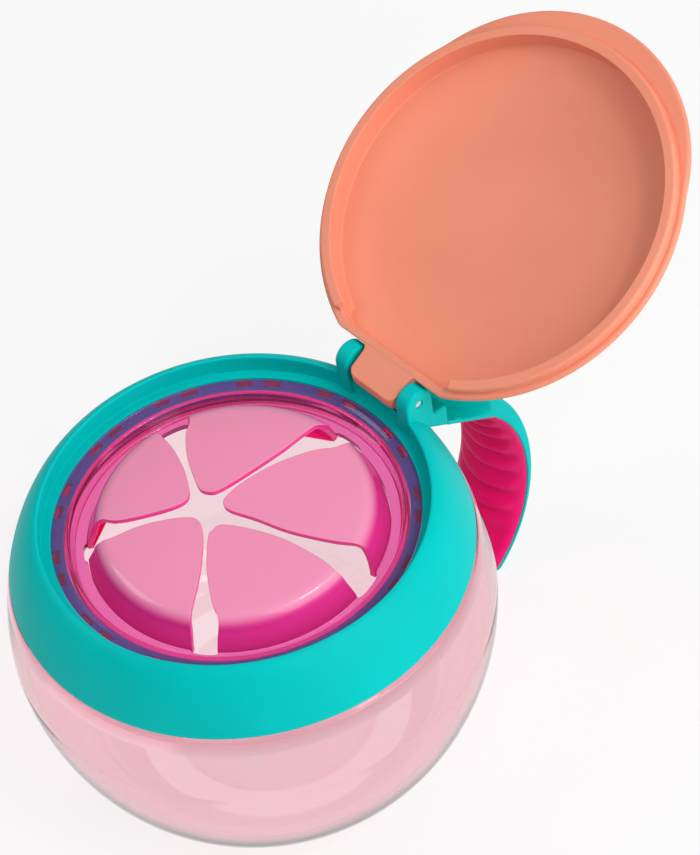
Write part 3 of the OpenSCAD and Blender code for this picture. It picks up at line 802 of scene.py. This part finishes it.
def makeRimRing(s, c, w):
    # the trough's floor, its wall, and the rim on the ledge with its low step, in one profile. At each slit's
    # foot the floor's inner edge is notched: r + notch sqrt(1 - d^4), d the share of the slit's half angle.
    # Under the ledge lies the ring that holds it, and lugs join the two through the windows.
    ledge, low = c["ledge"] + s["gap"], c["ledge"] - c["ledgeThick"] - s["gap"]
    floorTop = s["floor"] + s["thick"]
    profile = arcCorners([[s["inner"], s["floor"]], [s["wallFoot"], s["floor"]],
                          [s["wallTop"], ledge - s["wallDeep"]], [s["wallTop"], ledge],
                          [s["rimOut"], ledge], [s["rimOut"], s["rimTop"]], [s["stepOut"], s["rimTop"]],
                          [s["stepIn"], s["stepTop"]], [s["edge"], s["stepTop"]],
                          [s["floorOut"], floorTop], [s["inner"], floorTop]],
                         [0.03, 0.4, 0.4, 0.05, 0.05, 0.25, 0.5, 0.5, s["edgeRound"], 0.5, 0.03], 5)
    profile = fillRuns(profile, 0.6)
    angles = around(s["around"])
    grid = turned(profile, angles)
    middle, half = slitFeet()
    past = half + s["notchPast"] / s["inner"]
    d = np.abs((angles[:, None] - middle + np.pi) % (2 * np.pi) - np.pi) / past
    notch = (s["notch"] * np.sqrt(np.clip(1 - d ** 4, 0, 1))).max(1)
    share = 1 - smoothStep(s["inner"] + s["notchFade"], s["floorOut"] - s["notchFade"], profile[:, 0])
    grid[..., :2] *= (1 + notch[:, None] * share / profile[:, 0])[..., None]
    ring = gridPiece("rimRing", grid, wrapRows=True)
    lugIn, lugOut = w["circle"] - w["width"] / 2, w["circle"] + w["width"] / 2
    holdIn = lugIn - s["holdWide"]
    holdSection = [[holdIn, s["floor"]], [s["rimOut"], s["floor"]], [s["rimOut"], low], [holdIn, low]]
    hold = arcCorners(holdSection, [0.2] * 4, 3)
    parts = [ring, gridPiece("holdRing", turned(fillRuns(hold, 1.0), around(128)), wrapRows=True)]
    wide, seat = w["length"] / 2 / w["circle"], s["seat"]
    section = np.array([[lugIn + seat, low], [lugOut - seat, low], [lugOut - seat, ledge - seat],
                        [lugIn + seat, ledge - seat]])
    for mid in np.radians(windowAngles(w)):
        lug = turned(section, np.linspace(mid - wide, mid + wide, 6))
        parts.append(gridPiece("rimLug", lug, caps=(True, True), smooth=30))
    return dress(joined("rimSeal", parts), "rim", "collar", ["flap_ring"])


makeRimRing(membrane, collar, windows)
print("membrane rim made")

dome = {"foot": 27.3, "lean": 1.6, "high": 8.6, "crown": 1.2,
        "shoulder": 3.2, "shoulderFrom": 84, "shoulderTo": 8}


def pointsAlong(line, reach, at):
    # the points of a line at given ways along it
    return together(*(np.interp(at, reach, values) for values in line.T))


def domeLine(s, m, count=400):
    # the dome's outer line from its middle to its foot, in even steps of its own length
    top, edge, r = m["floor"] + s["high"], s["foot"] - s["lean"] - s["shoulder"], s["shoulder"]
    k = np.linspace(0, 1, 60)
    crown = together(edge * k, top - s["crown"] * k ** 2)
    a = np.radians(np.linspace(s["shoulderFrom"], s["shoulderTo"], 40))
    bend = together(edge + r * np.cos(a), top - s["crown"] - r + r * np.sin(a))
    foot = [[s["foot"], m["floor"] + m["thick"]], [s["foot"], m["floor"] + m["seat"]]]
    line = np.concatenate([crown, bend, foot])
    reach = wayAlong(line)
    at = np.linspace(0, reach[-1], count)
    return pointsAlong(line, reach, at), at


domePoints, domeReach = domeLine(dome, membrane)


def onDome(flat, sink):
    # flat points hold the way from the dome's middle as their length. Each is laid on the dome's line at
    # that length and sunk below the surface by the thickness, along the line's own normal
    length = np.linalg.norm(flat, axis=-1)
    way = flat / np.maximum(length, tiny)[..., None]
    slope = unit(np.gradient(domePoints, axis=0))
    normal = pointsAlong(together(-slope[:, 1], slope[:, 0]), domeReach, length)
    surface = pointsAlong(domePoints, domeReach, length)
    r, z = surface[..., 0] - sink * normal[..., 0], surface[..., 1] - sink * normal[..., 1]
    return together(way[..., 0] * r, way[..., 1] * r, z)


def outline(points, count):
    # a smooth line through the points (a cubic whose slope at each is half the way between its neighbours)
    p = np.asarray(points, float)
    before = np.concatenate([2 * p[:1] - p[1:2], p[:-1]])
    after = np.concatenate([p[1:], 2 * p[-1:] - p[-2:-1]])
    slope = (after - before) / 2
    t = np.linspace(0, 1, count, endpoint=False)[:, None, None]
    a, b, sa, sb = p[:-1], p[1:], slope[:-1], slope[1:]
    line = (2 * t ** 3 - 3 * t ** 2 + 1) * a + (t ** 3 - 2 * t ** 2 + t) * sa \
        + (3 * t ** 2 - 2 * t ** 3) * b + (t ** 3 - t ** 2) * sb
    return np.concatenate([line.transpose(1, 0, 2).reshape(-1, 2), p[-1:]])


# the last two settings are the ways from the dome's middle where the painted glow begins and is full
flapGrid = {"perStep": 60, "across": 52, "along": 84, "edge": 0.16, "edgeSteps": 4, "nose": 1.5,
            "straight": 0.25, "polar": 0.75, "paintedGlowFrom": 24.0, "paintedGlowFull": 26.6, "normalStep": 0.05}


def makeFlap(i, g):
    # a flap between one slit and the next. Its outline runs from one foot round the nose to the other, and
    # rows join its two sides: straight ones at the nose, and ones that keep their way from the dome's middle
    # at the foot. They are laid on the dome as a closed skin with rounded edges. Its share of painted glow
    # grows over the dome's shoulder, and is one below that, at the edges and underneath: a deeper magenta
    # painted there in place of the glow of light passing a longer way through the membrane.
    first, second = slits[i]["after"], slits[(i + 1) % 5]["before"]
    line = outline(first[::-1] + second[1:], g["perStep"])
    reach = wayAlong(line)
    nose = reach[g["perStep"] * (len(first) - 1)]
    v = np.linspace(0, 1, g["along"]) ** g["nose"]
    x, y = (line - line.mean(0)).T
    outward = np.sign(np.sum(x * np.roll(y, -1) - y * np.roll(x, -1)))

    def sideAt(way):
        # a side's points and their outward normals
        ahead, behind = (pointsAlong(line, reach, way + step) for step in (g["normalStep"], -g["normalStep"]))
        x, y = unit(ahead - behind).T
        return pointsAlong(line, reach, way), together(y, -x) * outward

    left, leftOut = sideAt(nose * (1 - v))
    right, rightOut = sideAt(nose + (reach[-1] - nose) * v)
    left[-1], right[-1] = (p * domeReach[-1] / np.linalg.norm(p) for p in (left[-1], right[-1]))

    def ruled(inset):
        # rows from side to side, both drawn in by the inset
        a, b = (left - leftOut * inset)[:, None], (right - rightOut * inset)[:, None]
        u = 0.5 - 0.5 * np.cos(np.pi * np.linspace(0, 1, g["across"])[None, :, None])
        flat = a * (1 - u) + b * u
        wanted = np.linalg.norm(a, axis=-1) * (1 - u[..., 0]) + np.linalg.norm(b, axis=-1) * u[..., 0]
        own = np.linalg.norm(flat, axis=-1)
        w = smoothStep(g["straight"], g["polar"], v)[:, None]
        return flat * ((1 - w) + w * wanted / np.maximum(own, tiny))[..., None]

    e, thick, k = g["edge"], membrane["thick"], quarter(g["edgeSteps"] + 1)
    inset = np.concatenate([e * (1 - np.sin(k)), e * (1 - np.cos(k))])
    sink = np.concatenate([e * (1 - np.cos(k)), thick - e * (1 - np.sin(k))])
    top = ruled(e)
    rightEdge = right[:, None] - rightOut[:, None] * inset[None, 1:-1, None]
    leftEdge = (left[:, None] - leftOut[:, None] * inset[None, 1:-1, None])[:, ::-1]
    flat = np.concatenate([top, rightEdge, top[:, ::-1], leftEdge], 1)
    columns = np.concatenate([np.zeros(g["across"]), sink[1:-1], np.full(g["across"], thick), sink[-2:0:-1]])
    # painted glow: the share of deeper magenta over the shoulder, at the edges and underneath
    paintedGlow = np.maximum(smoothStep(g["paintedGlowFrom"], g["paintedGlowFull"], np.linalg.norm(flat, axis=-1)),
                     smoothStep(0.0, e, columns)[None])
    piece = gridPiece("flap%d" % (i + 1), onDome(flat, columns[None, :]), caps=(False, True), smooth=40)
    share = piece.data.attributes.new("paintedGlowShare", "FLOAT", "POINT")
    values = np.ones(len(piece.data.vertices), np.float32)
    values[:paintedGlow.size] = paintedGlow.ravel()
    share.data.foreach_set("value", values)
    # the nose's row comes together in one point
    merged = bmesh.new()
    merged.from_mesh(piece.data)
    bmesh.ops.remove_doubles(merged, verts=merged.verts, dist=1e-7)
    bmesh.ops.dissolve_degenerate(merged, edges=merged.edges, dist=1e-8)
    merged.to_mesh(piece.data)
    merged.free()
    return piece


for i in range(5):
    flap = makeFlap(i, flapGrid)
    dress(flap, "flap", None)
    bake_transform(flap)
    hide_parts("flap_petal_%d" % (i + 1))
print("flaps made")


# Lid, worked out shut and then swung open about the pin
lid = {"flange": 36.1, "flangeThick": 1.4, "brimReach": 39.2, "brimRadius": 33.2, "under": 61.2, "dish": 32.9,
       "ringOut": 34.95, "ringLow": 59.5, "wall": 1.5, "crownTop": 68.5, "crease": 67.3, "creaseR": 21.0,
       "dishTop": 64.2, "slopeFull": 0.5, "back": 33.6, "dishBack": 32.05, "pocket": 34.25,
       "ringFrom": 65.7, "ringTo": 115.5, "ringFade": 0.9, "ringRound": 0.5,
       "brimSoft": 0.25, "backSoft": 0.35, "edge": 0.6, "backEdge": 0.3, "edgeFrom": 20.5, "edgeTo": 23.5,
       "wallFoot": 0.35, "roofSoft": 1.6, "roofKept": 1.7, "outlineFrom": 0.7, "pole": 0.4, "bend": 1.2,
       "fillet": 0.4, "around": 288, "open": 150.0}


def cutBack(radius, limit, a, soft):
    # a distance from the middle, kept in front of a straight line at the back
    slight, farAway = 0.05, 1e3
    line = np.where(np.sin(a) > slight, limit / np.maximum(np.sin(a), slight), farAway)
    return smoothMin(np.broadcast_to(radius, a.shape).astype(float), line, soft)


def flangeEdge(s, a):
    # distance to the flange's edge: its circle or the brim's smaller one, whichever reaches further
    shift = s["brimRadius"] - s["brimReach"]
    brim = shift * np.sin(a) + np.sqrt(s["brimRadius"] ** 2 - (shift * np.cos(a)) ** 2)
    return cutBack(-smoothMin(-brim, -s["flange"], s["brimSoft"]), s["back"], a, s["backSoft"])


def lidAngles(s):
    # even steps, and finer ones round the back corners and the sealing ring's ends
    beyond, wide, fineStep, midStep = 1.5, 8, 0.25, 1.0
    even = np.arange(s["around"]) * 360 / s["around"]
    left, right = s["ringFrom"] - beyond, s["ringTo"] + beyond
    parts = [even[(even < left) | (even > right)], np.arange(left, left + wide, fineStep),
             np.arange(left + wide + midStep / 2, right - wide - midStep / 2, midStep),
             np.arange(right - wide, right, fineStep)]
    return np.unique(np.concatenate(parts).round(3))


def makeLidShell(s):
    # rings round the lid's middle: over the dish from the middle to its wall, over the sealing ring, across
    # the flange and round its edge, and over the outside back to the middle. Behind, between the sealing
    # ring's ends, the dish's wall runs straight and nothing stands on the flange.
    degrees = lidAngles(s)
    a = np.radians(degrees)
    soft = s["ringFade"]
    past = [smoothStep(end - soft, end + soft, degrees) for end in (s["ringFrom"], s["ringTo"])]
    bare = past[0] * (1 - past[1])

    def either(ring, pocket):
        # one value where the sealing ring stands, and the other behind it
        return ring * (1 - bare) + pocket * bare

    wall = either(s["dish"], np.minimum(s["pocket"], s["dishBack"] / np.maximum(np.sin(a), 0.5)))
    rows = []

    def ringAt(radius, z):
        rows.append(together(np.cos(a) * radius, np.sin(a) * radius, z))

    roofR = np.array([0.0, s["creaseR"] / 2, s["creaseR"], (s["creaseR"] + s["dish"]) / 2, s["dish"]])
    roofZ = np.array([s["crownTop"], s["crownTop"] - 0.4, s["crease"],
                      (s["crease"] + s["dishTop"]) / 2 + s["slopeFull"], s["dishTop"]])

    def roof(r, up):
        # a line through the crown, the crease and the slope, averaged over a short way to either side
        knots = roofR + np.array([0, 0.5, 0.5, 0.5, 1]) * up
        raw = np.interp(r, knots, roofZ + up)
        nearby = np.linspace(-s["roofSoft"], s["roofSoft"], 9)
        even = sum(np.interp(np.clip(r + d, 0, None), knots, roofZ + up) for d in nearby) / len(nearby)
        return np.where(r < knots[-1] - s["roofKept"], even, raw)

    def spreadOut(r, limit, full):
        # a ring's radius, carried from a circle near the middle to the wall's own outline
        return r * (1 + (limit / full - 1) * smoothStep(s["outlineFrom"], 1.0, r / full))

    foot = s["wallFoot"]
    for r in np.linspace(s["pole"], s["dish"] - foot, 40):
        radius = spreadOut(r, (wall - foot) * s["dish"] / (s["dish"] - foot), s["dish"])
        ringAt(radius, roof(radius, 0))
    low = s["dishTop"] - foot
    for t in quarter(6)[1:]:
        ringAt(wall - foot + foot * np.sin(t), low + (roof(wall - foot, 0) - low) * np.cos(t))
    ringAt(wall, s["under"] + 0.9)
    ringAt(wall, s["under"] + 0.12)
    seal = arcCorners([[s["dish"], s["under"]], [s["dish"], s["ringLow"]], [s["ringOut"], s["ringLow"]],
                       [s["ringOut"], s["under"]], [s["ringOut"] + 0.3, s["under"]]],
                      [0, 0.2, s["ringRound"], 0.12, 0], 4, closed=False)
    for (r, z), share in zip(seal, np.linspace(0, 1, len(seal))):
        ringAt(either(r, wall + 0.12 + 0.4 * share), either(z, s["under"]))
    start = either(s["ringOut"] + 0.3, wall + 0.52)
    edge = flangeEdge(s, a)
    sideways = smoothStep(s["edgeFrom"], s["edgeTo"], np.abs(degrees - 90))
    e = s["backEdge"] + (s["edge"] - s["backEdge"]) * sideways
    for share in (0.3, 0.65, 0.95):
        ringAt(start + (edge - e - start) * share, s["under"])
    top = s["under"] + s["flangeThick"]
    for t in quarter(5):
        ringAt(edge - e + e * np.sin(t), s["under"] + e - e * np.cos(t))
    for t in quarter(5):
        ringAt(edge - e + e * np.cos(t), top - e + e * np.sin(t))
    outer = s["dish"] + s["wall"]
    skirt = cutBack(outer, s["back"] - s["backEdge"] - 0.1, a, 0.1)
    room = edge - e - skirt
    for share in (0.75, 0.45):
        ringAt(skirt + room * share, top)
    fillet = np.minimum(s["fillet"], room * 0.4)
    for t in quarter(4):
        ringAt(skirt + fillet * (1 - np.sin(t)), top + fillet * (1 - np.cos(t)))
    bend = s["bend"]
    wallTop = s["dishTop"] + s["wall"] - bend
    ringAt(skirt, (top + wallTop) / 2)
    rise = roof(skirt - bend, s["wall"]) - wallTop
    for t in quarter(7):
        ringAt(skirt - bend + bend * np.cos(t), wallTop + rise * np.sin(t))
    for r in np.linspace(outer - bend - s["pole"], s["pole"], 36):
        radius = spreadOut(r, (skirt - bend) * outer / (outer - bend), outer)
        ringAt(radius, roof(radius, s["wall"]))
    return gridPiece("lidShell", np.stack(rows), caps=(True, True), smooth=40)


knuckle = {"from": -5.65, "to": 6.15, "radius": 3.55, "flat": 61.2, "top": 64.2, "front": 32.7,
           "topBack": 3.2, "topRound": 0.5, "turnFrom": -44, "turnTo": 168,
           "sunk": 0.3, "flush": 0.32, "edge": 0.3, "corner": 1.8, "fillet": 1.0, "across": 34}


def makeKnuckle(s, back):
    # the tab's section in y and z, flat underneath and round over the pin, carried across. Its free corners
    # are round in plan, and fillets R - sqrt(R^2 - (R - d)^2) widen it where it leaves the flange.
    turn = np.radians(np.linspace(s["turnFrom"], s["turnTo"], 48))
    rounded = together(pinY + s["radius"] * np.cos(turn), pinZ + s["radius"] * np.sin(turn))
    infront = (rounded[:, 0] < pinY) & (rounded[:, 1] < s["top"])
    rounded = rounded[(rounded[:, 1] > s["flat"] + 0.05) & ~infront]
    end = pinY + np.sqrt(s["radius"] ** 2 - (pinZ - s["flat"]) ** 2)
    section = np.concatenate([
        [[s["front"], s["flat"] + s["sunk"]], [back - s["flush"], s["flat"]], [end, s["flat"]]],
        rounded, [[pinY - s["topBack"], s["top"]], [s["front"], s["top"]]]])
    corners = [0, 0, s["edge"]] + [0] * (len(section) - 5) + [s["topRound"], 0]
    section = fillRuns(arcCorners(section, corners, 4), 0.5)
    stepY, stepZ = unit(np.roll(section, -1, 0) - np.roll(section, 1, 0)).T
    normal = together(stepZ, -stepY)
    k, e = quarter(5), s["edge"]
    x = np.concatenate([s["from"] + e * (1 - np.sin(k[::-1])),
                        np.linspace(s["from"] + e, s["to"] - e, s["across"])[1:-1],
                        s["to"] - e * (1 - np.sin(k))])
    inset = np.concatenate([e * (1 - np.cos(k[::-1])), np.zeros(s["across"] - 2), e * (1 - np.cos(k))])
    inner = section - normal * inset[:, None, None]
    grid = together(x[:, None], inner[..., 0], inner[..., 1])
    side = np.minimum(x - s["from"], s["to"] - x)[:, None]

    def roundOff(distance, r):
        # how far a round corner falls back, at a distance from its end
        return r - np.sqrt(r * r - (r - np.clip(distance, 0, r)) ** 2)

    past = np.clip(grid[..., 1] - pinY, 0, None)
    grid[..., 1] -= past * roundOff(side, s["corner"]) / (end - pinY)
    middle, half = (s["from"] + s["to"]) / 2, (s["to"] - s["from"]) / 2
    grid[..., 0] += (grid[..., 0] - middle) / half * roundOff(grid[..., 1] - back, s["fillet"])
    return gridPiece("lidKnuckle", grid, caps=(True, True), smooth=40)


def swing(piece, angle):
    # a turn about the pin's line: y' = c y + s z, z' = -s y + c z, from the pin
    co = np.zeros(len(piece.data.vertices) * 3, np.float32)
    piece.data.vertices.foreach_get("co", co)
    co = co.reshape(-1, 3)
    c, s = np.cos(np.radians(angle)), np.sin(np.radians(angle))
    dy, dz = co[:, 1] - pinY * mm, co[:, 2] - pinZ * mm
    co[:, 1] = pinY * mm + c * dy + s * dz
    co[:, 2] = pinZ * mm - s * dy + c * dz
    piece.data.vertices.foreach_set("co", co.ravel())
    piece.data.update()
    return piece


lidBody = swing(joined("lidBody", [makeLidShell(lid), makeKnuckle(knuckle, lid["back"])]), lid["open"])
dress(lidBody, "coral", "lid", ["lid"])
print("lid made")


# Floor, lamps and the white room
room = {"floorHalf": 3000.0, "floorWhite": 0.85, "seenWhite": 0.8, "worldLight": 0.38}


def seenDirectly(tree):
    # one for rays that reach the camera straight, by gloss or through clear plastic
    path = node(tree, "LightPath")
    seen = path.outputs["Is Camera Ray"]
    for other in ("Is Glossy Ray", "Is Transmission Ray"):
        either = node(tree, "Math", operation="MAXIMUM")
        wire(tree, (seen, either.inputs[0]), (path.outputs[other], either.inputs[1]))
        seen = either.outputs["Value"]
    return seen


def makeFloor(s):
    # a flat square that takes the cup's shadow and shows as a near white of its own
    half = s["floorHalf"]
    points = np.array([[-half, -half, 0], [half, -half, 0], [half, half, 0], [-half, half, 0]])
    floor = makeMesh("paleFloor", points, np.array([[0, 1, 2, 3]]), smooth=0)
    material = bpy.data.materials.new("palePaper")
    material.use_nodes = True
    tree = material.node_tree
    tree.nodes.remove(tree.nodes["Principled BSDF"])
    paper = node(tree, "BsdfDiffuse", Color=(s["floorWhite"],) * 3 + (1,))
    white = node(tree, "Emission", Strength=1.0)
    share = node(tree, "Math", operation="MULTIPLY")
    share.inputs[1].default_value = s["seenWhite"]
    mix = node(tree, "MixShader")
    wire(tree, (seenDirectly(tree), share.inputs[0]), (share.outputs["Value"], mix.inputs["Fac"]),
         (paper.outputs["BSDF"], mix.inputs[1]), (white.outputs["Emission"], mix.inputs[2]),
         (mix.outputs["Shader"], tree.nodes["Material Output"].inputs["Surface"]))
    floor.data.materials.append(material)


def makeWorld(s):
    # white where the camera sees it, and dimmer as a light
    world = bpy.data.worlds.new("whiteRoom")
    bpy.context.scene.world = world
    world.use_nodes = True
    tree = world.node_tree
    background = tree.nodes["Background"]
    background.inputs["Color"].default_value = (1, 1, 1, 1)
    strength = node(tree, "MapRange")
    strength.inputs["To Min"].default_value = s["worldLight"]
    strength.inputs["To Max"].default_value = 1.0
    path = node(tree, "LightPath")
    wire(tree, (path.outputs["Is Camera Ray"], strength.inputs["Value"]),
         (strength.outputs["Result"], background.inputs["Strength"]))


lampAim = (0.0, 20.0, 50.0)
lamps = {
    "keyBox": {"from": (690, 200, 530), "size": (900, 1040), "power": 7.6},
    "fillBox": {"from": (-420, -380, 620), "size": (420, 320), "power": 1.3},
    "stripBox": {"from": (378, 130, 628), "size": (150, 50), "power": 0.7},
}


def makeLamp(name, s):
    # a softbox that faces the cup
    data = bpy.data.lights.new(name, "AREA")
    data.shape = "RECTANGLE"
    data.size, data.size_y = s["size"][0] * mm, s["size"][1] * mm
    data.energy = s["power"]
    lamp = bpy.data.objects.new(name, data)
    place = np.array(s["from"], float) * mm
    back = unit(place - np.array(lampAim) * mm)
    side = unit(np.cross([0, 0, 1], back))
    turn = np.eye(4)
    turn[:3, :3] = np.stack([side, np.cross(back, side), back], 1)
    turn[:3, 3] = place
    lamp.matrix_world = Matrix(turn.tolist())
    bpy.context.scene.collection.objects.link(lamp)


makeFloor(room)
makeWorld(room)
for lampName, values in lamps.items():
    makeLamp(lampName, values)
bpy.context.scene.view_settings.view_transform = "Standard"
print("room made")

bpy.context.view_layer.update()
